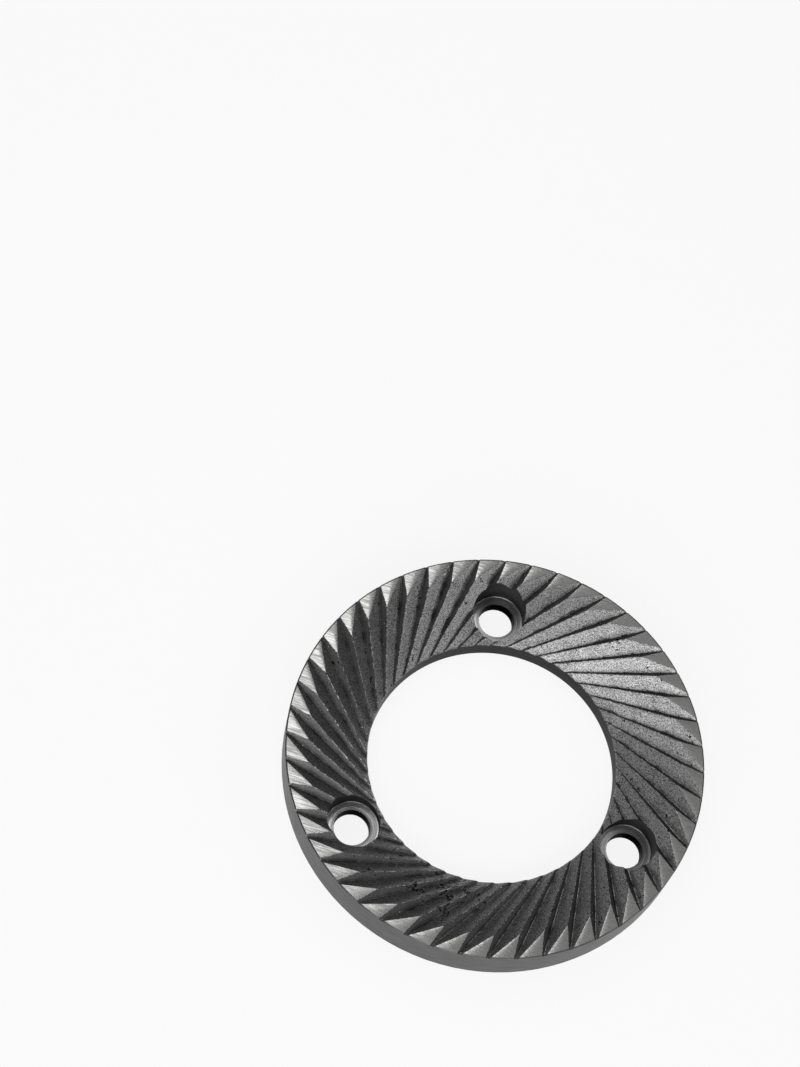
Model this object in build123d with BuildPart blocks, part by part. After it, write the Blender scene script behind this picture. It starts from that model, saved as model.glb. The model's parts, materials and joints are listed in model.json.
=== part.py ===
"""Flat grinding burr for a coffee grinder: one hardened steel ring with 48 cut teeth.

The ring lies flat on its back face, teeth up. The origin is the centre of the back face and
+Z points to the teeth. +X runs through the first screw hole. All sizes are millimetres.
"""
import os
from math import cos, radians, sin, tan

from build123d import *

# Ring blank
outer_diameter = 64.0
bore_diameter = 38.4
thickness = 7.6
back_chamfer = 0.25

# Grooves between the teeth: straight V cuts that start at the rim and deepen towards the bore
groove_count = 48
groove_start = -0.65  # degrees from the first screw hole to the rim end of the nearest groove
groove_swing = 30.0  # degrees between a groove and the radius through its rim end
groove_slope = 13.6  # degrees that the root of a groove falls towards the bore
rim_depth = 0.25  # depth of the sharp V where it breaks out through the rim
steep_flank = 48.5  # degrees from the face, on the clockwise side, the cutting flank
shallow_flank = 38.0  # degrees from the face, on the anticlockwise side, the back of the tooth
root_radius = 0.15
cutter_lead = 1.5  # how far outside the rim the cutter starts
cutter_stop = 4.5  # how far before its nearest point to the axis the cutter stops

# Screw holes, counterbored from the toothed face
screw_count = 3
screw_clearance = 5.5
head_diameter = 8.3
seat_floor = 2.05  # steel left under the screw head
inner_share = 0.144  # part of the steel beside a counterbore that lies on the bore's side

rim_radius = outer_diameter / 2
bore_radius = bore_diameter / 2
steel_beside_head = rim_radius - bore_radius - head_diameter
screw_radius = bore_radius + inner_share * steel_beside_head + head_diameter / 2

# The root of the first groove passes through rim_point and runs along root_direction
swing = radians(groove_swing)
slope = radians(groove_slope)
rim_point = Vector(rim_radius, 0, thickness - rim_depth)
root_direction = Vector(-cos(swing) * cos(slope), sin(swing) * cos(slope), -sin(slope))
clockwise_side = Vector(-sin(swing), -cos(swing), 0)
cutter_plane = Plane(
    origin=rim_point - root_direction * cutter_lead,
    x_dir=clockwise_side,
    z_dir=root_direction,
)

# The cutter is as tall as the groove is deep where it stops, so it always clears the face
cutter_run = (rim_radius * cos(swing) - cutter_stop) / cos(slope)
cutter_height = rim_depth + cutter_run * sin(slope)
steep_width = cutter_height / tan(radians(steep_flank))
shallow_width = cutter_height / tan(radians(shallow_flank))

with BuildPart() as groove_cutter:
    with BuildSketch(cutter_plane):
        with BuildLine():
            Polyline(
                (-shallow_width, cutter_height),
                (0, 0),
                (steep_width, cutter_height),
                close=True,
            )
        make_face()
        fillet(vertices().sort_by(Axis.Y)[0], radius=root_radius)
    extrude(amount=cutter_lead + cutter_run)

with BuildPart() as burr_ring:
    with BuildSketch():
        Circle(rim_radius)
        Circle(bore_radius, mode=Mode.SUBTRACT)
    extrude(amount=thickness)
    chamfer(faces().sort_by(Axis.Z)[0].edges(), length=back_chamfer)

    with PolarLocations(0, groove_count, start_angle=groove_start):
        add(groove_cutter.part, mode=Mode.SUBTRACT)

    with Locations(Plane.XY.offset(thickness)):
        with PolarLocations(screw_radius, screw_count):
            CounterBoreHole(
                radius=screw_clearance / 2,
                counter_bore_radius=head_diameter / 2,
                counter_bore_depth=thickness - seat_floor,
            )

burr_ring.part.label = "burr_ring"

os.makedirs("parts", exist_ok=True)
export_step(burr_ring.part, "parts/burr_ring.step")
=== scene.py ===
"""Dress a flat coffee grinder burr in its steel finishes, on a pale floor under soft studio light.

The sizes in the classes are millimetres, as on a drawing, and are turned to metres only where
vertices, lamps and the camera are placed. The toothed face is built from the same straight V
grooves as the solid, with the edges, crests and roots that grinding and use have rounded.
"""

import json
import logging
from abc import ABC, abstractmethod
from dataclasses import dataclass, field
from enum import Enum
from math import acos, cos, pi, radians, sin, tan
from typing import Any

import bmesh
import bpy
import numpy as np
from mathutils import Matrix, Vector


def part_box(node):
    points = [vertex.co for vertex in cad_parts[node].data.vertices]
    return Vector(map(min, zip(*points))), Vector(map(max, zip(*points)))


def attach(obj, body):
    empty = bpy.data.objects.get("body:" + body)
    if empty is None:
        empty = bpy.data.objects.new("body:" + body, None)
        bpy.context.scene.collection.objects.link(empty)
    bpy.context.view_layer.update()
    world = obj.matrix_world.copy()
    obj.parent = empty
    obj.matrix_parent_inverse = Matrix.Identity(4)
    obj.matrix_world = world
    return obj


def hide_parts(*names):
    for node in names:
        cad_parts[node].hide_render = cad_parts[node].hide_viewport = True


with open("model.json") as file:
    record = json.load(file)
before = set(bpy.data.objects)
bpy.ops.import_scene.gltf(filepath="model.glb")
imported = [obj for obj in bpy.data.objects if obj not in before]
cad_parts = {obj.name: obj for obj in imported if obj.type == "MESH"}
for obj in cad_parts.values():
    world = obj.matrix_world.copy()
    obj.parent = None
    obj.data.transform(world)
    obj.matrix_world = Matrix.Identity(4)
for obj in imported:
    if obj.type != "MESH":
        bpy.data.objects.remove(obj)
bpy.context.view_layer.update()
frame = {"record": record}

MM = 0.001
PHOTO_HEIGHT = 1067  # pixels, the longer side
SENSOR = 36.0  # the camera's film width in millimetres, which Blender lays along the longer side

logging.basicConfig(level=logging.INFO, format="%(levelname)s %(name)s: %(message)s")
log = logging.getLogger("burr")


def linear(colour: str) -> tuple[float, float, float, float]:
    """Turn an sRGB hex colour into the linear colour that a shader takes.

    Args:
        colour: The colour as "#rrggbb".

    Returns:
        Red, green, blue and an alpha of 1, all linear.
    """
    channels = [int(colour[i:i + 2], 16) / 255 for i in (1, 3, 5)]
    red, green, blue = [c / 12.92 if c <= 0.04045 else ((c + 0.055) / 1.055) ** 2.4 for c in channels]
    return red, green, blue, 1.0


def add_node(
    tree: bpy.types.NodeTree,
    kind: str,
    inputs: dict[int | str, Any] | None = None,
    **settings: Any,
) -> bpy.types.Node:
    """Add a node with its settings, its input values and the links into it.

    A Mix node's inputs 2 and 3 are its two numbers and 6 and 7 its two colours, and its outputs 0
    and 2 are the mixed number and the mixed colour.

    Args:
        tree: The node tree that takes the node.
        kind: The node's type name.
        inputs: Input sockets by name or number, each with a value or the socket that feeds it.
        **settings: Properties of the node itself.

    Returns:
        The new node.
    """
    node = tree.nodes.new(kind)
    for name, value in settings.items():
        setattr(node, name, value)
    for key, value in (inputs or {}).items():
        if isinstance(value, bpy.types.NodeSocket):
            tree.links.new(value, node.inputs[key])
        else:
            node.inputs[key].default_value = value
    return node


class Zone(Enum):
    """The areas of the ring that were finished in different ways, in the order of their slots."""

    LAND = 0
    SHALLOW_FLANK = 1
    STEEP_FLANK = 2
    EDGE = 3
    RIM = 4
    BORE = 5
    BACK = 6
    SCREW_HOLE = 7


@dataclass(frozen=True)
class Surface:
    """What a finish's pattern gives to the shader."""

    colour: bpy.types.NodeSocket
    roughness: bpy.types.NodeSocket
    height: bpy.types.NodeSocket


@dataclass(frozen=True)
class Finish(ABC):
    """A way in which the steel was worked, as one material.

    The bright parts of a pattern are smoother than its dark parts.
    """

    name: str
    light: str
    dark: str
    roughness: float
    roughness_spread: float
    relief: float  # height of the pattern's relief, in millimetres
    middle: float = 0.5  # the noise's value that gives a tone halfway between dark and light
    contrast: float = 0.2  # how far either side of that the noise gives full dark and full light
    grazing: str = "#ffffff"  # tint of the reflection at a shallow angle
    detail: float = 3.0  # how many times the noise is doubled in fineness
    persistence: float = 0.6  # how strong each finer layer is against the one before

    @abstractmethod
    def pattern(self, tree: bpy.types.NodeTree, position: bpy.types.NodeSocket) -> Surface:
        """Lay out the finish over the surface.

        Args:
            tree: The material's node tree.
            position: The place on the object, in millimetres.

        Returns:
            The sockets that carry colour, roughness and height.
        """

    def toned(self, tree: bpy.types.NodeTree, noise: bpy.types.NodeSocket) -> Surface:
        """Give a noise this finish's colours and roughness.

        Args:
            tree: The material's node tree.
            noise: The noise, from 0 to 1.

        Returns:
            The surface, with the noise as its height.
        """
        share = add_node(
            tree,
            "ShaderNodeMapRange",
            {
                "Value": noise,
                "From Min": self.middle - self.contrast,
                "From Max": self.middle + self.contrast,
            },
        ).outputs[0]
        colour = add_node(
            tree,
            "ShaderNodeMix",
            {"Factor": share, 6: linear(self.dark), 7: linear(self.light)},
            data_type="RGBA",
        ).outputs[2]
        roughness = add_node(
            tree,
            "ShaderNodeMapRange",
            {
                "Value": share,
                "To Min": self.roughness + self.roughness_spread,
                "To Max": self.roughness,
            },
        ).outputs[0]
        return Surface(colour, roughness, noise)

    def material(self) -> bpy.types.Material:
        """Build the material: metal with the finish's pattern as colour, roughness and relief.

        Returns:
            The material.
        """
        material = bpy.data.materials.new(self.name)
        material.use_nodes = True
        tree = material.node_tree
        tree.nodes.clear()
        place = add_node(tree, "ShaderNodeTexCoord").outputs["Object"]
        position = add_node(
            tree, "ShaderNodeVectorMath", {0: place, "Scale": 1 / MM}, operation="SCALE"
        ).outputs[0]
        surface = self.pattern(tree, position)
        bump = add_node(
            tree,
            "ShaderNodeBump",
            {"Strength": 1.0, "Distance": self.relief * MM, "Height": surface.height},
        ).outputs[0]
        steel = add_node(
            tree,
            "ShaderNodeBsdfPrincipled",
            {
                "Base Color": surface.colour,
                "Metallic": 1.0,
                "Roughness": surface.roughness,
                "Specular Tint": linear(self.grazing),
                "Normal": bump,
            },
        ).outputs[0]
        add_node(tree, "ShaderNodeOutputMaterial", {"Surface": steel})
        return material


@dataclass(frozen=True)
class GroundSteel(Finish):
    """Tool steel ground flat on a surface grinder.

    The wheel leaves straight, parallel scratches. They scatter more than the steel between them, so
    that they show as dark streaks where the steel mirrors a lamp and hardly show elsewhere.
    """

    light: str = "#cacac8"
    dark: str = "#a2a2a0"
    roughness: float = 0.1
    roughness_spread: float = 0.26
    relief: float = 0.03
    contrast: float = 0.11
    scratch_direction: float = 17.0  # degrees from +X, the way the table travelled
    scratch_length: float = 4.0
    scratch_width: float = 0.26  # coarser than real grit, so that it shows

    def pattern(self, tree: bpy.types.NodeTree, position: bpy.types.NodeSocket) -> Surface:
        """Streaks of light and dark along the grinding direction.

        Args:
            tree: The material's node tree.
            position: The place on the object, in millimetres.

        Returns:
            The finish's surface.
        """
        turned = add_node(
            tree,
            "ShaderNodeVectorRotate",
            {"Vector": position, "Angle": -radians(self.scratch_direction)},
            rotation_type="Z_AXIS",
        ).outputs[0]
        stretched = add_node(
            tree,
            "ShaderNodeVectorMath",
            {0: turned, 1: (1 / self.scratch_length, 1 / self.scratch_width, 0.0)},
            operation="MULTIPLY",
        ).outputs[0]
        streaks = add_node(
            tree,
            "ShaderNodeTexNoise",
            {"Vector": stretched, "Scale": 1.0, "Detail": self.detail, "Roughness": self.persistence},
        ).outputs[0]
        return self.toned(tree, streaks)


@dataclass(frozen=True)
class BlastedSteel(Finish):
    """Milled grooves, hardened and then blasted clean.

    Blasting leaves a fine grain of dents that glitters where it mirrors a lamp, with deeper pits in
    clusters where scale broke out. Painted shade and dirt (scale and old coffee) darken the roots and
    the pits, and a few specks shine.
    """

    light: str = "#b4b4b4"
    dark: str = "#484848"
    roughness: float = 0.3
    roughness_spread: float = 0.16
    relief: float = 0.05
    contrast: float = 0.13
    detail: float = 2.0
    mottle_detail: float = 4.0
    # painted shade and dirt: the dark towards the groove roots and in the pits
    root: str = "#181818"
    root_level: float = 0.42  # sum of rise and mottle where painted shade and dirt begin to thin
    root_share: float = 0.09  # over how much of the groove's height it thins out
    root_steel_share: float = 0.3  # how much steel shows where painted shade and dirt are thickest
    grain: float = 0.17  # coarser than the real dents, so that it shows
    grain_share: float = 0.85  # the rest of the shade comes from the slow mottle
    mottle: float = 2.6
    pit_size: float = 0.42
    pit_depth: float = 0.5  # against the grain's own height
    pit_level: float = 1.25  # the sum of the pits' noise and the mottle at which a pit begins
    pit_edge: float = 0.02
    pit_detail: float = 3.0
    pit_persistence: float = 0.55
    patch_centre: tuple[float, float, float] = (4.7, -22.0, 5.0)
    patch_radius: float = 7.0  # a patch near the bore with more pits than elsewhere
    patch_gain: float = 0.21  # what the patch adds to that sum in its middle
    speck: str = "#e0e0e0"
    speck_spacing: float = 1.1
    speck_radius: float = 0.08

    def pattern(self, tree: bpy.types.NodeTree, position: bpy.types.NodeSocket) -> Surface:
        """Grain over a slow mottle, with painted shade and dirt at the roots and pits, and specks.

        Args:
            tree: The material's node tree.
            position: The place on the object, in millimetres.

        Returns:
            The finish's surface.
        """
        grain = add_node(
            tree,
            "ShaderNodeTexNoise",
            {
                "Vector": position,
                "Scale": 1 / self.grain,
                "Detail": self.detail,
                "Roughness": self.persistence,
            },
        ).outputs[0]
        mottle = add_node(
            tree,
            "ShaderNodeTexNoise",
            {
                "Vector": position,
                "Scale": 1 / self.mottle,
                "Detail": self.mottle_detail,
                "Roughness": self.persistence,
            },
        ).outputs[0]
        blend = add_node(
            tree,
            "ShaderNodeMix",
            {"Factor": self.grain_share, 2: mottle, 3: grain},
            data_type="FLOAT",
        ).outputs[0]
        surface = self.toned(tree, blend)
        sound = self.sound(tree, position, mottle)
        # Painted shade and dirt, darker towards each groove's root; clean is the share of steel left
        rise = add_node(tree, "ShaderNodeAttribute", attribute_name="groove_rise").outputs["Fac"]
        level = add_node(tree, "ShaderNodeMath", {0: rise, 1: mottle}, operation="ADD").outputs[0]
        clean = add_node(
            tree,
            "ShaderNodeMapRange",
            {
                "Value": level,
                "From Min": self.root_level,
                "From Max": self.root_level + self.root_share,
                "To Min": self.root_steel_share,
            },
        ).outputs[0]
        # The pits take the same painted shade and dirt
        shown = add_node(
            tree, "ShaderNodeMath", {0: clean, 1: sound}, operation="MULTIPLY"
        ).outputs[0]
        shaded_and_soiled = add_node(
            tree,
            "ShaderNodeMix",
            {"Factor": shown, 6: linear(self.root), 7: surface.colour},
            data_type="RGBA",
        ).outputs[2]
        near_speck = add_node(
            tree,
            "ShaderNodeTexVoronoi",
            {"Vector": position, "Scale": 1 / self.speck_spacing, "Randomness": 1.0},
        ).outputs["Distance"]
        bright = add_node(
            tree,
            "ShaderNodeMath",
            {0: near_speck, 1: self.speck_radius / self.speck_spacing},
            operation="LESS_THAN",
        ).outputs[0]
        colour = add_node(
            tree,
            "ShaderNodeMix",
            {"Factor": bright, 6: shaded_and_soiled, 7: linear(self.speck)},
            data_type="RGBA",
        ).outputs[2]
        height = add_node(
            tree, "ShaderNodeMath", {0: sound, 1: self.pit_depth, 2: grain}, operation="MULTIPLY_ADD"
        ).outputs[0]
        return Surface(colour, surface.roughness, height)

    def sound(
        self, tree: bpy.types.NodeTree, position: bpy.types.NodeSocket, mottle: bpy.types.NodeSocket
    ) -> bpy.types.NodeSocket:
        """Where the steel is sound.

        Args:
            tree: The material's node tree.
            position: The place on the object, in millimetres.
            mottle: The slow noise that gathers the pits in clusters.

        Returns:
            1 on sound steel and 0 in the pits.
        """
        blots = add_node(
            tree,
            "ShaderNodeTexNoise",
            {
                "Vector": position,
                "Scale": 1 / self.pit_size,
                "Detail": self.pit_detail,
                "Roughness": self.pit_persistence,
            },
        ).outputs[0]
        away = add_node(
            tree, "ShaderNodeVectorMath", {0: position, 1: self.patch_centre}, operation="DISTANCE"
        ).outputs["Value"]
        patch = add_node(
            tree,
            "ShaderNodeMapRange",
            {"Value": away, "From Max": self.patch_radius, "To Min": self.patch_gain, "To Max": 0.0},
        ).outputs[0]
        cluster = add_node(tree, "ShaderNodeMath", {0: mottle, 1: patch}, operation="ADD").outputs[0]
        level = add_node(tree, "ShaderNodeMath", {0: cluster, 1: blots}, operation="ADD").outputs[0]
        return add_node(
            tree,
            "ShaderNodeMapRange",
            {
                "Value": level,
                "From Min": self.pit_level + self.pit_edge,
                "From Max": self.pit_level - self.pit_edge,
            },
        ).outputs[0]


@dataclass(frozen=True)
class WornSteelWithPaintedHighlight(Finish):
    """Cutting edges that the beans have polished, with dull stretches where they are chipped.

    Its colour, near white where polished and near black where chipped, paints broken bright lines
    along the crests: painted highlight as well as wear.
    """

    # near white and near black: the painted highlight along the crests and its dark breaks
    light: str = "#c8c8c6"
    dark: str = "#242424"
    roughness: float = 0.34
    roughness_spread: float = 0.2
    relief: float = 0.02
    middle: float = 0.54
    contrast: float = 0.05
    detail: float = 5.0
    persistence: float = 0.75
    break_length: float = 0.45

    def pattern(self, tree: bpy.types.NodeTree, position: bpy.types.NodeSocket) -> Surface:
        """Painted highlight and wear: bright metal broken into short dark stretches.

        Args:
            tree: The material's node tree.
            position: The place on the object, in millimetres.

        Returns:
            The finish's surface.
        """
        # Painted highlight and wear: the noise breaks the bright crest lines into stretches
        wear = add_node(
            tree,
            "ShaderNodeTexNoise",
            {
                "Vector": position,
                "Scale": 1 / self.break_length,
                "Detail": self.detail,
                "Roughness": self.persistence,
            },
        ).outputs[0]
        return self.toned(tree, wear)


@dataclass(frozen=True)
class TurnedSteel(Finish):
    """Steel turned on a lathe and darkened by hardening, with fine rings along the tool's path.

    The rings hardly show one by one, but give the walls a soft, even grey.
    """

    light: str = "#6a6a6a"
    dark: str = "#585858"
    roughness: float = 0.36
    roughness_spread: float = 0.1
    relief: float = 0.004
    persistence: float = 0.65
    feed: float = 0.22  # a little coarser than a finishing feed, so that it shows
    mottle: float = 3.0

    def pattern(self, tree: bpy.types.NodeTree, position: bpy.types.NodeSocket) -> Surface:
        """Rings that follow the height on the wall, over a slow mottle.

        Args:
            tree: The material's node tree.
            position: The place on the object, in millimetres.

        Returns:
            The finish's surface.
        """
        squeezed = add_node(
            tree,
            "ShaderNodeVectorMath",
            {0: position, 1: (1 / self.mottle, 1 / self.mottle, 1 / self.feed)},
            operation="MULTIPLY",
        ).outputs[0]
        rings = add_node(
            tree,
            "ShaderNodeTexNoise",
            {"Vector": squeezed, "Scale": 1.0, "Detail": self.detail, "Roughness": self.persistence},
        ).outputs[0]
        return self.toned(tree, rings)


@dataclass(frozen=True)
class CounterboredSteel(Finish):
    """The screw seats, cut by a counterbore that leaves rings round each hole's own axis.

    The counterbore walls kept their dark hardening scale, the clearance holes are painted near
    black with shade, and screw heads have rubbed the seats clean. The tool left each seat a little
    lower at its outer edge, so that it catches the light on one side.
    """

    light: str = "#cccccc"
    dark: str = "#949494"
    roughness: float = 0.2
    roughness_spread: float = 0.14
    relief: float = 0.012
    grazing: str = "#a8a8a8"
    dish: float = 8.0  # how far the seat falls in a millimetre outwards, against the rings' height
    wall: str = "#4c4c4c"
    wall_roughness: float = 0.4
    # painted shade: the clearance holes' walls near black
    clearance_hole_shade: str = "#101010"
    ring_pitch: float = 0.35
    circle_radius: float = 24.0
    hole_count: int = 3
    head_radius: float = 4.15
    through_radius: float = 2.75
    corner: float = 0.05  # how far the wall's colour reaches into the seat's corner
    seat_break: float = 0.06  # how far the painted shade of the clearance hole reaches onto the seat

    def pattern(self, tree: bpy.types.NodeTree, position: bpy.types.NodeSocket) -> Surface:
        """Rings by the distance from the nearest hole's axis on a dished seat, with darker walls,
        and painted shade, near black, in the clearance holes.

        Args:
            tree: The material's node tree.
            position: The place on the object, in millimetres.

        Returns:
            The finish's surface.
        """
        parts = add_node(tree, "ShaderNodeSeparateXYZ", {0: position}).outputs
        bearing = add_node(
            tree, "ShaderNodeMath", {0: parts[1], 1: parts[0]}, operation="ARCTAN2"
        ).outputs[0]
        share = 2 * pi / self.hole_count
        shifted = add_node(
            tree, "ShaderNodeMath", {0: bearing, 1: share / 2}, operation="ADD"
        ).outputs[0]
        nearest = add_node(
            tree, "ShaderNodeMath", {0: shifted, 1: share}, operation="SNAP"
        ).outputs[0]
        back = add_node(
            tree, "ShaderNodeMath", {0: nearest, 1: -1.0}, operation="MULTIPLY"
        ).outputs[0]
        turned = add_node(
            tree,
            "ShaderNodeVectorRotate",
            {"Vector": position, "Angle": back},
            rotation_type="Z_AXIS",
        ).outputs[0]
        centred = add_node(
            tree,
            "ShaderNodeVectorMath",
            {0: turned, 1: (self.circle_radius, 0.0, 0.0)},
            operation="SUBTRACT",
        ).outputs[0]
        flat = add_node(
            tree, "ShaderNodeVectorMath", {0: centred, 1: (1.0, 1.0, 0.0)}, operation="MULTIPLY"
        ).outputs[0]
        reach = add_node(tree, "ShaderNodeVectorMath", {0: flat}, operation="LENGTH").outputs["Value"]
        path = add_node(tree, "ShaderNodeMath", {0: parts[2], 1: reach}, operation="ADD").outputs[0]
        scaled = add_node(
            tree, "ShaderNodeMath", {0: path, 1: 1 / self.ring_pitch}, operation="MULTIPLY"
        ).outputs[0]
        rings = add_node(
            tree,
            "ShaderNodeTexNoise",
            {"W": scaled, "Scale": 1.0, "Detail": self.detail, "Roughness": self.persistence},
            noise_dimensions="1D",
        ).outputs[0]
        seat = self.toned(tree, rings)
        on_wall = add_node(
            tree,
            "ShaderNodeMath",
            {0: reach, 1: self.head_radius - self.corner},
            operation="GREATER_THAN",
        ).outputs[0]
        walled = add_node(
            tree,
            "ShaderNodeMix",
            {"Factor": on_wall, 6: seat.colour, 7: linear(self.wall)},
            data_type="RGBA",
        ).outputs[2]
        # Painted shade: the clearance holes and the seat's broken edge next to them are near black
        in_clearance = add_node(
            tree,
            "ShaderNodeMath",
            {0: reach, 1: self.through_radius + self.seat_break},
            operation="LESS_THAN",
        ).outputs[0]
        colour = add_node(
            tree,
            "ShaderNodeMix",
            {"Factor": in_clearance, 6: walled, 7: linear(self.clearance_hole_shade)},
            data_type="RGBA",
        ).outputs[2]
        walls = add_node(
            tree, "ShaderNodeMath", {0: on_wall, 1: in_clearance}, operation="MAXIMUM"
        ).outputs[0]
        roughness = add_node(
            tree,
            "ShaderNodeMix",
            {"Factor": walls, 2: seat.roughness, 3: self.wall_roughness},
            data_type="FLOAT",
        ).outputs[0]
        dished = add_node(
            tree, "ShaderNodeMath", {0: reach, 1: -self.dish, 2: rings}, operation="MULTIPLY_ADD"
        ).outputs[0]
        return Surface(colour, roughness, dished)


@dataclass
class Blank:
    """The ring before its teeth are cut."""

    outer_radius: float
    bore_radius: float
    thickness: float
    back_chamfer: float = 0.25
    edge_break: float = 0.06
    rim_break: float = 0.2  # width of the stoned edge between the toothed face and the rim
    rim_drop: float = 0.1  # its height


@dataclass
class Grooves:
    """The V grooves between the teeth, as in the solid, and how far their edges are rounded."""

    count: int = 48
    start: float = -0.65  # degrees from +X to the rim end of the first groove
    swing: float = 30.0  # degrees between a groove and the radius through its rim end
    slope: float = 13.6  # degrees that a root falls towards the bore
    rim_depth: float = 0.25
    steep_flank: float = 48.5  # degrees from the face, as the next
    shallow_flank: float = 38.0
    root_rounding: float = 0.1  # how far apart in height the flanks are when the root rounds them
    edge_rounding: float = 0.03  # half the width of a rounded edge where it is least worn
    wear_spread: float = 0.06


@dataclass
class ScrewHoles:
    """The counterbored holes."""

    circle_radius: float
    through_radius: float
    count: int = 3
    head_radius: float = 4.15
    seat_floor: float = 2.05
    seat_break: float = 0.04
    corner_radius: float = 0.14


@dataclass(frozen=True)
class Nick:
    """A small chip in the rim's upper edge."""

    x: float
    y: float
    radius: float = 0.35
    depth: float = 0.22

    def near(self, x: np.ndarray, y: np.ndarray) -> np.ndarray:
        """How deep in the chip each point lies, from 0 outside to 1 in its middle."""
        return np.clip(1 - np.hypot(x - self.x, y - self.y) / self.radius, 0, 1)


@dataclass
class ToothedFace:
    """The height of the toothed face, worked out from the grooves' planes.

    Angles are measured from the root of one groove, anticlockwise, along a circle round the axis.
    """

    blank: Blank
    grooves: Grooves
    halvings: int = 40  # steps in the search for an edge, each of which halves what is left

    def __post_init__(self) -> None:
        """Work out the slopes of the planes once."""
        blank, grooves = self.blank, self.grooves
        self.pitch = 2 * pi / grooves.count
        self.offset = blank.outer_radius * sin(radians(grooves.swing))
        self.rim_run = blank.outer_radius * cos(radians(grooves.swing))
        self.fall = tan(radians(grooves.slope))
        self.steep = tan(radians(grooves.steep_flank)) / cos(radians(grooves.slope))
        self.shallow = tan(radians(grooves.shallow_flank)) / cos(radians(grooves.slope))

    def bearing(self, radius: np.ndarray) -> np.ndarray:
        """Angle between the radius to a groove's root and the radius to its rim end."""
        return acos(self.offset / self.blank.outer_radius) - np.arccos(self.offset / radius)

    def planes(self, radius: np.ndarray, angle: np.ndarray) -> tuple[np.ndarray, np.ndarray]:
        """Heights of the two flank planes of the groove whose root is at angle 0.

        Args:
            radius: Distance from the axis.
            angle: Angle from the root, anticlockwise.

        Returns:
            The heights of the shallow flank's plane and of the steep flank's plane.
        """
        turn = np.arccos(self.offset / radius) - angle
        across = radius * np.cos(turn) - self.offset
        along = self.rim_run - radius * np.sin(turn)
        root = self.blank.thickness - self.grooves.rim_depth - along * self.fall
        return root + across * self.shallow, root - across * self.steep

    def groove(self, radius: np.ndarray, angle: np.ndarray) -> np.ndarray:
        """Height of a groove's surface, with its rounded root.

        Args:
            radius: Distance from the axis.
            angle: Angle from the root, anticlockwise.

        Returns:
            The height above the back face.
        """
        shallow, steep = self.planes(radius, angle)
        gap = np.hypot(shallow - steep, self.grooves.root_rounding)
        return 0.5 * (shallow + steep + gap)

    def height(self, radius: np.ndarray, angle: np.ndarray, rounding: np.ndarray) -> np.ndarray:
        """Height of the face between two roots, with its crests and edges rounded.

        Args:
            radius: Distance from the axis.
            angle: Angle from the root on the clockwise side.
            rounding: Half the width of a rounded edge, in millimetres.

        Returns:
            The height above the back face.
        """
        first = self.groove(radius, angle)
        second = self.groove(radius, angle - self.pitch)
        crest = self.lower(first, second, rounding * (self.steep + self.shallow))
        return self.lower(crest, self.blank.thickness, rounding * self.shallow)

    @staticmethod
    def lower(first: np.ndarray, second: np.ndarray | float, reach: np.ndarray) -> np.ndarray:
        """The lower of two heights, blended where they differ by less than the reach.

        A quarter of the reach at the middle makes the blend leave both surfaces without a kink.

        Args:
            first: Heights of the first surface.
            second: Heights of the second surface.
            reach: Difference in height over which they blend.

        Returns:
            The blended heights, never above either surface.
        """
        share = np.maximum(reach - np.abs(first - second), 0) / reach
        return np.minimum(first, second) - 0.25 * reach * share**2

    def edges(self, radius: np.ndarray) -> tuple[np.ndarray, np.ndarray]:
        """Angles where the shallow flank ends and where the next steep flank begins.

        Args:
            radius: Distances from the axis.

        Returns:
            Both angles, which are the same where two grooves meet in a crest.
        """
        top = self.blank.thickness
        found = []
        for rising in (True, False):
            low = np.zeros_like(radius)
            high = np.full_like(radius, self.pitch)
            for _ in range(self.halvings):
                middle = 0.5 * (low + high)
                shallow = self.planes(radius, middle)[0]
                steep = self.planes(radius, middle - self.pitch)[1]
                if rising:
                    before = shallow < np.minimum(steep, top)
                else:
                    before = steep > np.minimum(shallow, top)
                low = np.where(before, middle, low)
                high = np.where(before, high, middle)
            found.append(0.5 * (low + high))
        return found[0], found[1]


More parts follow.
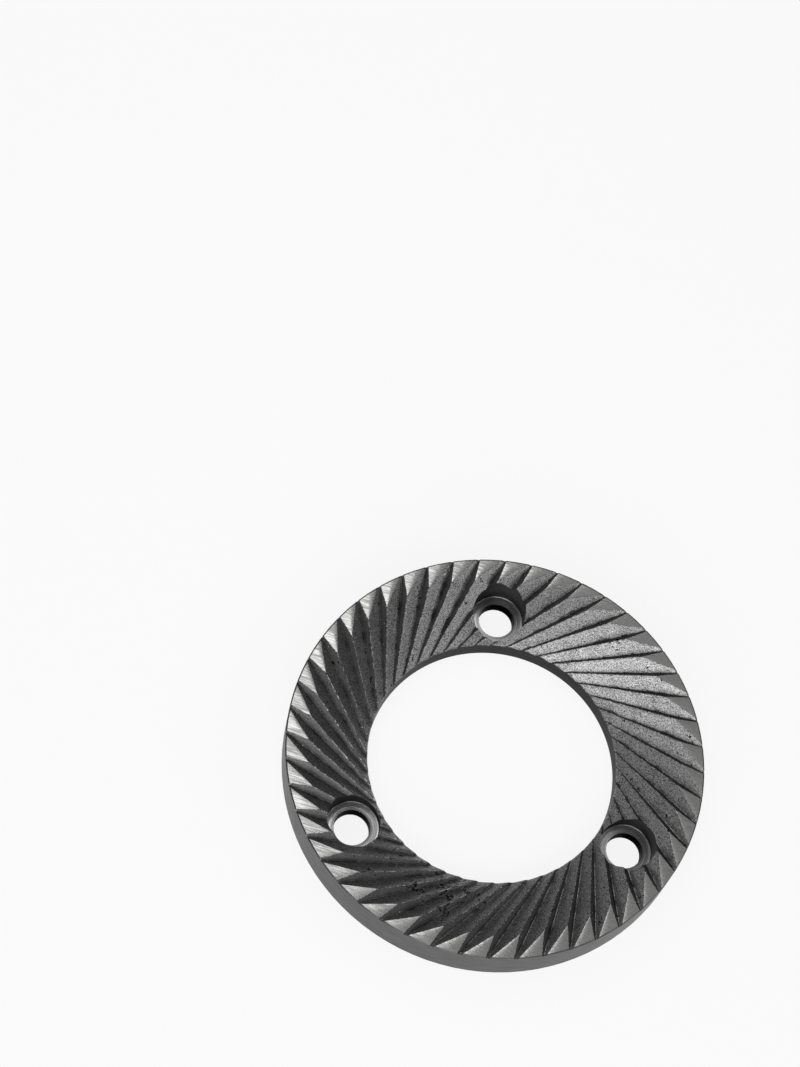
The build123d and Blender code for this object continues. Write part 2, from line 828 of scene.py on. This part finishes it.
@dataclass
class BurrRing:
    """The burr: one ring of steel with its teeth, bore and screw holes."""

    blank: Blank
    grooves: Grooves
    holes: ScrewHoles
    node: str = "burr_ring"
    slot: str = "hardened_steel"
    rows: int = 66  # circles of mesh across the teeth, between the two broken edges
    # Distances from a root, each with the most of a flank that it may take up
    root_lines: tuple[tuple[float, float], ...] = ((0.05, 0.2), (0.13, 0.45))
    strip_share: float = 0.4  # the most of a flank that the worn strip takes
    edge_share: float = 0.2  # the most of a tooth's top that lies between two lines of a rounded edge
    least_rise: float = 0.3  # height under which a groove is too shallow for full painted shade and dirt
    land_least: float = 0.15  # width under which a tooth's top is all worn edge
    shallow_lines: tuple[float, ...] = (0.35, 0.7)  # shares of a flank's width
    steep_lines: tuple[float, ...] = (0.5,)
    top_strips: int = 6  # strips of mesh across a tooth's top, two for each edge and two for the land
    land_relief: float = 0.6  # how much less the edges of a land are rounded than a crest
    land_run: float = 0.5  # width of a land from which that holds in full
    wear_knot: float = 0.7  # distance over which the wear along a crest changes
    nicks: tuple[Nick, ...] = (Nick(-2.8, -31.7), Nick(2.4, -31.85), Nick(3.1, -31.8, radius=0.3))
    seed: int = 7
    hole_segments: int = 96
    corner_segments: int = 3
    cutter_margin: float = 1.0  # how far the holes' cutter stands out above and below the ring
    sharp_angle: float = 24.0  # degrees between two faces from which their edge is shaded sharp

    def __post_init__(self) -> None:
        """Work out the toothed face from the sizes."""
        self.face = ToothedFace(self.blank, self.grooves)

    @classmethod
    def from_frame(cls, mounts: dict[str, dict[str, Any]]) -> "BurrRing":
        """Take the ring's sizes from the frame.

        Args:
            mounts: The record's mounts by name.

        Returns:
            The burr with its sizes, not built yet.
        """
        low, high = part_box(cls.node)
        blank = Blank(
            outer_radius=0.5 * (high.x - low.x) / MM,
            bore_radius=mounts["bore"]["dims"]["r_mm"],
            thickness=(high.z - low.z) / MM,
        )
        holes = ScrewHoles(
            circle_radius=0.5 * mounts["screws"]["dims"]["pcd_mm"],
            through_radius=mounts["screws"]["dims"]["hole_r_mm"],
        )
        return cls(blank, Grooves(), holes)

    def finishes(self) -> dict[Zone, Finish]:
        """Choose how each area of the ring was worked.

        Returns:
            The finish of each zone.
        """
        return {
            Zone.LAND: GroundSteel("ground_tool_steel"),
            Zone.SHALLOW_FLANK: BlastedSteel("blasted_tool_steel"),
            # The steep flanks take a darker copy of the blasted steel, with darker reflections at a
            # shallow angle: painted shade
            Zone.STEEP_FLANK: BlastedSteel(
                "scaled_tool_steel",
                light="#7e7e7e",
                dark="#4e4e4e",
                roughness=0.42,
                contrast=0.2,
                # Painted shade and dirt reach further up the steep flank from its root
                root_level=0.5,
                root_share=0.4,
                root_steel_share=0.4,
                grazing="#404040",
            ),
            Zone.EDGE: WornSteelWithPaintedHighlight("worn_cutting_edge"),
            Zone.RIM: TurnedSteel("turned_hardened_steel", grazing="#e4e4e4"),
            # The bore takes a darker copy of the turned steel: painted shade inside the ring
            Zone.BORE: TurnedSteel(
                "turned_scaled_steel", light="#424242", dark="#303030", grazing="#c8c8c8"
            ),
            Zone.BACK: GroundSteel("ground_back_steel", light="#9a9a98", dark="#7f7f7d"),
            Zone.SCREW_HOLE: CounterboredSteel(
                "counterbored_steel",
                circle_radius=self.holes.circle_radius,
                hole_count=self.holes.count,
                head_radius=self.holes.head_radius,
                through_radius=self.holes.through_radius,
            ),
        }

    def columns(self, radius: np.ndarray, wear: np.ndarray) -> np.ndarray:
        """Angles of the mesh lines between one root and the next.

        Args:
            radius: The radius of each row.
            wear: Half the width of the worn strip along an edge, for each row.

        Returns:
            One row of angles for each radius, from the root on.
        """
        pitch = self.face.pitch
        per_mm = 1 / np.sqrt(radius**2 - self.face.offset**2)
        first, last = self.face.edges(radius)
        strip = np.minimum(wear * per_mm, self.strip_share * np.minimum(first, pitch - last))
        start, end = first - strip, last + strip
        width = end - start
        near = np.minimum(strip, self.edge_share * width)
        middle = 0.5 * (start + end)
        top = [start, start + near, start + 2 * near, middle, end - 2 * near, end - near, end]
        root, back = [0 * radius], []
        for distance, share in self.root_lines:
            root.append(np.minimum(distance * per_mm, share * start))
            back.insert(0, pitch - np.minimum(distance * per_mm, share * (pitch - end)))
        shallow = [root[-1] + share * (start - root[-1]) for share in self.shallow_lines]
        steep = [end + share * (back[0] - end) for share in self.steep_lines]
        return np.stack(root + shallow + top + steep + back, axis=1)

    def wear_along(self, radius: np.ndarray, rng: np.random.Generator) -> np.ndarray:
        """How worn a tooth is along its crest, changing smoothly with the radius.

        Args:
            radius: The radius of each row.
            rng: The source of the wear at each knot.

        Returns:
            The wear of each row, from 0 to 1.
        """
        end = self.blank.outer_radius + self.wear_knot
        knots = np.arange(self.blank.bore_radius, end, self.wear_knot)
        return np.interp(radius, knots, rng.random(len(knots)))

    def rounding_left(self, radius: np.ndarray) -> np.ndarray:
        """Share of the rounding that is left where a tooth has a flat land instead of a crest.

        Args:
            radius: The radius of each row.

        Returns:
            1 along a crest, and less where the land is wide.
        """
        first, last = self.face.edges(radius)
        land = (last - first) * np.sqrt(radius**2 - self.face.offset**2)
        return 1 - self.land_relief * np.clip(land / self.land_run, 0, 1)

    def toothed_mesh(self) -> bpy.types.Mesh:
        """Build the closed ring with its teeth, without the screw holes.

        Returns:
            The mesh, with a material index for each face's zone.
        """
        blank, grooves, face = self.blank, self.grooves, self.face
        rng = np.random.default_rng(self.seed)
        inner = blank.bore_radius + blank.edge_break
        outer = blank.outer_radius - blank.rim_break
        radius = np.concatenate(
            [[blank.bore_radius], np.linspace(inner, outer, self.rows), [blank.outer_radius]]
        )
        drop = np.zeros_like(radius)
        drop[[0, -1]] = blank.edge_break, blank.rim_drop
        points: list[np.ndarray] = []
        rises: list[np.ndarray] = []
        zones: list[np.ndarray] = []
        for tooth in range(grooves.count):
            worn = self.wear_along(radius, rng)
            rounding = grooves.edge_rounding + grooves.wear_spread * worn
            rounding = rounding * self.rounding_left(radius)
            angle = self.columns(radius, rounding)
            reach = np.repeat(radius[:, None], angle.shape[1], axis=1)
            height = face.height(reach, angle, rounding[:, None])
            turn = radians(grooves.start) + tooth * face.pitch + face.bearing(reach) + angle
            x, y = reach * np.cos(turn), reach * np.sin(turn)
            chipped = sum(nick.depth * nick.near(x, y) for nick in self.nicks)
            points.append(np.stack([x, y, height - drop[:, None] - chipped], axis=2))
            floor = face.height(radius, 0 * radius, rounding)
            crest = height.max(axis=1)
            full = np.maximum(crest - floor, self.least_rise)
            rises.append((height - floor[:, None]) / full[:, None])
            zones.append(self.column_zones(angle, radius))
        grid = np.concatenate(points, axis=1)
        rise = np.concatenate(rises, axis=1)
        zone = np.concatenate(zones, axis=1)
        return self.closed_mesh(grid, rise, zone)

    def column_zones(self, angle: np.ndarray, radius: np.ndarray) -> np.ndarray:
        """Zone of the strip after each mesh line, for each row.

        Args:
            angle: The angles of the mesh lines.
            radius: The radius of each row.

        Returns:
            The zones' numbers.
        """
        start = 1 + len(self.root_lines) + len(self.shallow_lines)
        end = start + self.top_strips
        zone = np.full(angle.shape, Zone.SHALLOW_FLANK.value)
        zone[:, start:end] = Zone.EDGE.value
        zone[:, end:] = Zone.STEEP_FLANK.value
        wide = (angle[:, end] - angle[:, start]) * radius > self.land_least
        middle = slice(start + 2, end - 2)
        zone[:, middle] = np.where(wide, Zone.LAND.value, Zone.EDGE.value)[:, None]
        return zone

    def closed_mesh(self, grid: np.ndarray, rise: np.ndarray, zone: np.ndarray) -> bpy.types.Mesh:
        """Join the toothed face to the walls and the back.

        Args:
            grid: Points of the toothed face, one row for each radius.
            rise: How far up its groove each point lies, from 0 to 1.
            zone: The zone after each mesh line.

        Returns:
            The closed mesh.
        """
        blank = self.blank
        spin = grid[:, :, :2] / np.linalg.norm(grid[:, :, :2], axis=2, keepdims=True)
        rings = [
            (spin[-1], blank.outer_radius, blank.back_chamfer),
            (spin[-1], blank.outer_radius - blank.back_chamfer, 0.0),
            (spin[0], blank.bore_radius + blank.back_chamfer, 0.0),
            (spin[0], blank.bore_radius, blank.back_chamfer),
        ]
        extra = [np.column_stack([s * r, np.full(len(s), z)]) for s, r, z in rings]
        layers = np.concatenate([grid, np.stack(extra)], axis=0)
        count = layers.shape[1]
        rows = grid.shape[0]
        each = np.arange(count)
        after = np.roll(each, -1)
        faces = []
        materials = []
        chain = list(range(layers.shape[0])) + [0]
        # From the stoned edge over the rim, the two chamfers and the back to the bore
        walls = [Zone.RIM, Zone.RIM, Zone.RIM, Zone.BACK, Zone.BORE, Zone.BORE]
        for index, (a, b) in enumerate(zip(chain[:-1], chain[1:])):
            here, there = a * count, b * count
            faces.append(np.stack([here + each, there + each, there + after, here + after], axis=1))
            if index < rows - 2:
                materials.append(zone[a])
            else:
                materials.append(np.full(count, walls[index - rows + 2].value))
        mesh = bpy.data.meshes.new(self.node)
        quads = np.concatenate(faces)
        mesh.from_pydata((layers.reshape(-1, 3) * MM).tolist(), [], quads.tolist())
        mesh.polygons.foreach_set("material_index", np.concatenate(materials).astype(np.int32))
        level = np.concatenate([rise.ravel(), np.ones(len(rings) * count)])
        attribute = mesh.attributes.new("groove_rise", "FLOAT", "CORNER")
        attribute.data.foreach_set("value", level[quads.ravel()].astype(np.float32))
        mesh.update()
        return mesh

    def hole_cutter(self) -> bpy.types.Object:
        """Build the solids that cut the counterbored holes.

        Returns:
            One object that holds them all.
        """
        holes, blank = self.holes, self.blank
        profile = [
            (holes.through_radius, -self.cutter_margin),
            (holes.through_radius, holes.seat_floor - holes.seat_break),
            (holes.through_radius + holes.seat_break, holes.seat_floor),
        ]
        for step in range(self.corner_segments + 1):
            turn = 0.5 * pi * step / self.corner_segments
            inset = holes.corner_radius * (1 - sin(turn))
            rise = holes.corner_radius * (1 - cos(turn))
            profile.append((holes.head_radius - inset, holes.seat_floor + rise))
        profile.append((holes.head_radius, blank.thickness + self.cutter_margin))
        shape = bmesh.new()
        for hole in range(holes.count):
            bearing = 2 * pi * hole / holes.count
            centre = Vector((cos(bearing), sin(bearing), 0)) * holes.circle_radius
            rings = []
            for radius, z in profile:
                ring = []
                for step in range(self.hole_segments):
                    turn = 2 * pi * step / self.hole_segments
                    point = centre + Vector((radius * cos(turn), radius * sin(turn), z))
                    ring.append(shape.verts.new(point * MM))
                rings.append(ring)
            for low, high in zip(rings[:-1], rings[1:]):
                for step in range(self.hole_segments):
                    ahead = (step + 1) % self.hole_segments
                    shape.faces.new((low[step], low[ahead], high[ahead], high[step]))
            shape.faces.new(list(reversed(rings[0])))
            shape.faces.new(rings[-1])
        for polygon in shape.faces:
            polygon.material_index = Zone.SCREW_HOLE.value
        mesh = bpy.data.meshes.new("hole_cutter")
        shape.to_mesh(mesh)
        shape.free()
        return bpy.data.objects.new("hole_cutter", mesh)

    def build(self) -> bpy.types.Object:
        """Build the ring, cut its screw holes and dress it.

        Returns:
            The ring, in place of its solid.
        """
        finishes = self.finishes()
        materials = [finishes[zone].material() for zone in Zone]
        ring = bpy.data.objects.new("burr_ring_steel", self.toothed_mesh())
        cutter = self.hole_cutter()
        for thing in (ring, cutter):
            bpy.context.scene.collection.objects.link(thing)
            for material in materials:
                thing.data.materials.append(material)
        cut = ring.modifiers.new("Screw holes", "BOOLEAN")
        cut.operation = "DIFFERENCE"
        cut.object = cutter
        cut.solver = "MANIFOLD"
        graph = bpy.context.evaluated_depsgraph_get()
        finished = bpy.data.meshes.new_from_object(ring.evaluated_get(graph))
        ring.modifiers.clear()
        ring.data = finished
        bpy.data.objects.remove(cutter)
        finished.polygons.foreach_set("use_smooth", np.ones(len(finished.polygons), bool))
        finished.set_sharp_from_angle(angle=radians(self.sharp_angle))
        weighted = ring.modifiers.new("Flat faces stay flat", "WEIGHTED_NORMAL")
        weighted.keep_sharp = True
        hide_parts(self.node)
        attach(ring, "root")
        return ring


@dataclass(frozen=True)
class PhotoCamera:
    """Where the photograph was taken from, fitted to the rim, the bore and the grooves."""

    position: tuple[float, float, float] = (24.06, -140.56, 359.25)
    aim: tuple[float, float, float] = (-31.7, 22.03, 7.6)
    roll: float = 15.4  # degrees
    focal_pixels: float = 2500.0

    def build(self) -> bpy.types.Object:
        """Place the camera and make it the scene's camera.

        Returns:
            The camera.
        """
        data = bpy.data.cameras.new("photo_camera")
        data.sensor_fit = "AUTO"
        data.sensor_width = SENSOR
        data.lens = self.focal_pixels * SENSOR / PHOTO_HEIGHT
        camera = bpy.data.objects.new("photo_camera", data)
        bpy.context.scene.collection.objects.link(camera)
        position = Vector(self.position) * MM
        gaze = Vector(self.aim) * MM - position
        level = gaze.to_track_quat("-Z", "Y").to_matrix().to_4x4()
        rolled = level @ Matrix.Rotation(radians(self.roll), 4, "Z")
        camera.matrix_world = Matrix.Translation(position) @ rolled
        bpy.context.scene.camera = camera
        return camera


@dataclass(frozen=True)
class Softbox:
    """One soft lamp, aimed at the middle of the toothed face."""

    name: str
    azimuth: float  # degrees, as all its angles
    elevation: float
    distance: float
    width: float
    length: float
    across: float  # azimuth along which the width runs
    radiance: float  # 1 looks white

    def build(self, target: Vector) -> bpy.types.Object:
        """Place the lamp.

        Args:
            target: The point it faces, in metres.

        Returns:
            The lamp.
        """
        data = bpy.data.lights.new(self.name, "AREA")
        data.shape = "RECTANGLE"
        data.size = self.width * MM
        data.size_y = self.length * MM
        data.energy = self.radiance * pi * data.size * data.size_y
        lamp = bpy.data.objects.new(self.name, data)
        bpy.context.scene.collection.objects.link(lamp)
        turn, lift, side = radians(self.azimuth), radians(self.elevation), radians(self.across)
        way = Vector((cos(lift) * cos(turn), cos(lift) * sin(turn), sin(lift)))
        along = way.cross(Vector((cos(side), sin(side), 0))).normalized()
        axes = Matrix((along.cross(way), along, way)).transposed().to_4x4()
        lamp.matrix_world = Matrix.Translation(target + way * self.distance * MM) @ axes
        return lamp


@dataclass
class Studio:
    """A pale floor, soft lamps and a dim room.

    Bright steel shows what it mirrors, so each lamp stands where one group of surfaces mirrors it
    towards the camera, and the dim room gives the others their even grey.
    """

    floor_size: float = 6000.0
    floor_colour: str = "#f2f2f2"
    floor_glow: float = 0.87  # the share of plain white in the floor; the rest keeps the shadow
    room_colour: str = "#5c5c5c"
    lamps: tuple[Softbox, ...] = field(
        default=(
            Softbox(
                "key_light", azimuth=-72, elevation=33, distance=700,
                width=740, length=540, across=18, radiance=2.9,
            ),
            Softbox(
                "window_light", azimuth=14, elevation=30, distance=700,
                width=400, length=300, across=104, radiance=2.3,
            ),
            Softbox(
                "wall_light", azimuth=205, elevation=8, distance=700,
                width=620, length=150, across=115, radiance=1.9,
            ),
            Softbox(
                "side_light", azimuth=148, elevation=63, distance=328,
                width=184, length=390, across=20, radiance=1.48,
            ),
            Softbox(
                "fill_light", azimuth=56, elevation=70, distance=311,
                width=160, length=300, across=18, radiance=0.2,
            ),
        )
    )

    def floor(self) -> bpy.types.Object:
        """Build the floor, which looks white and keeps the object's shadow.

        Returns:
            The floor.
        """
        half = 0.5 * self.floor_size * MM
        mesh = bpy.data.meshes.new("floor")
        corners = [(-half, -half, 0), (half, -half, 0), (half, half, 0), (-half, half, 0)]
        mesh.from_pydata(corners, [], [(0, 1, 2, 3)])
        material = bpy.data.materials.new("pale_floor")
        material.use_nodes = True
        tree = material.node_tree
        tree.nodes.clear()
        paper = add_node(tree, "ShaderNodeBsdfDiffuse", {"Color": linear(self.floor_colour)})
        glow = add_node(tree, "ShaderNodeEmission", {"Color": linear("#ffffff"), "Strength": 1.0})
        rays = add_node(tree, "ShaderNodeLightPath").outputs
        seen = add_node(
            tree,
            "ShaderNodeMath",
            {0: rays["Is Camera Ray"], 1: rays["Is Glossy Ray"]},
            operation="MAXIMUM",
        ).outputs[0]
        seen = add_node(
            tree, "ShaderNodeMath", {0: seen, 1: rays["Is Transmission Ray"]}, operation="MAXIMUM"
        ).outputs[0]
        share = add_node(
            tree, "ShaderNodeMath", {0: seen, 1: self.floor_glow}, operation="MULTIPLY"
        ).outputs[0]
        mixed = add_node(
            tree, "ShaderNodeMixShader", {0: share, 1: paper.outputs[0], 2: glow.outputs[0]}
        )
        add_node(tree, "ShaderNodeOutputMaterial", {"Surface": mixed.outputs[0]})
        mesh.materials.append(material)
        floor = bpy.data.objects.new("floor", mesh)
        bpy.context.scene.collection.objects.link(floor)
        return floor

    def room(self) -> None:
        """Fill the room with an even, dim grey."""
        world = bpy.data.worlds.new("room")
        world.use_nodes = True
        tree = world.node_tree
        tree.nodes.clear()
        air = add_node(
            tree, "ShaderNodeBackground", {"Color": linear(self.room_colour), "Strength": 1.0}
        )
        add_node(tree, "ShaderNodeOutputWorld", {"Surface": air.outputs[0]})
        bpy.context.scene.world = world

    def build(self, target: Vector) -> None:
        """Build the floor, the lamps and the room.

        Args:
            target: The point that the lamps face, in metres.
        """
        self.floor()
        self.room()
        for lamp in self.lamps:
            lamp.build(target)
            log.info("lamp %s", lamp.name)


def main() -> None:
    """Build the burr, the studio and the camera."""
    mounts = {mount["name"]: mount for mount in frame["record"]["mounts"]}
    burr = BurrRing.from_frame(mounts)
    ring = burr.build()
    log.info("piece %s, %d faces", ring.name, len(ring.data.polygons))
    Studio().build(Vector((0, 0, burr.blank.thickness * MM)))
    PhotoCamera().build()
    bpy.context.scene.view_settings.view_transform = "Standard"


if __name__ == "__main__":
    main()
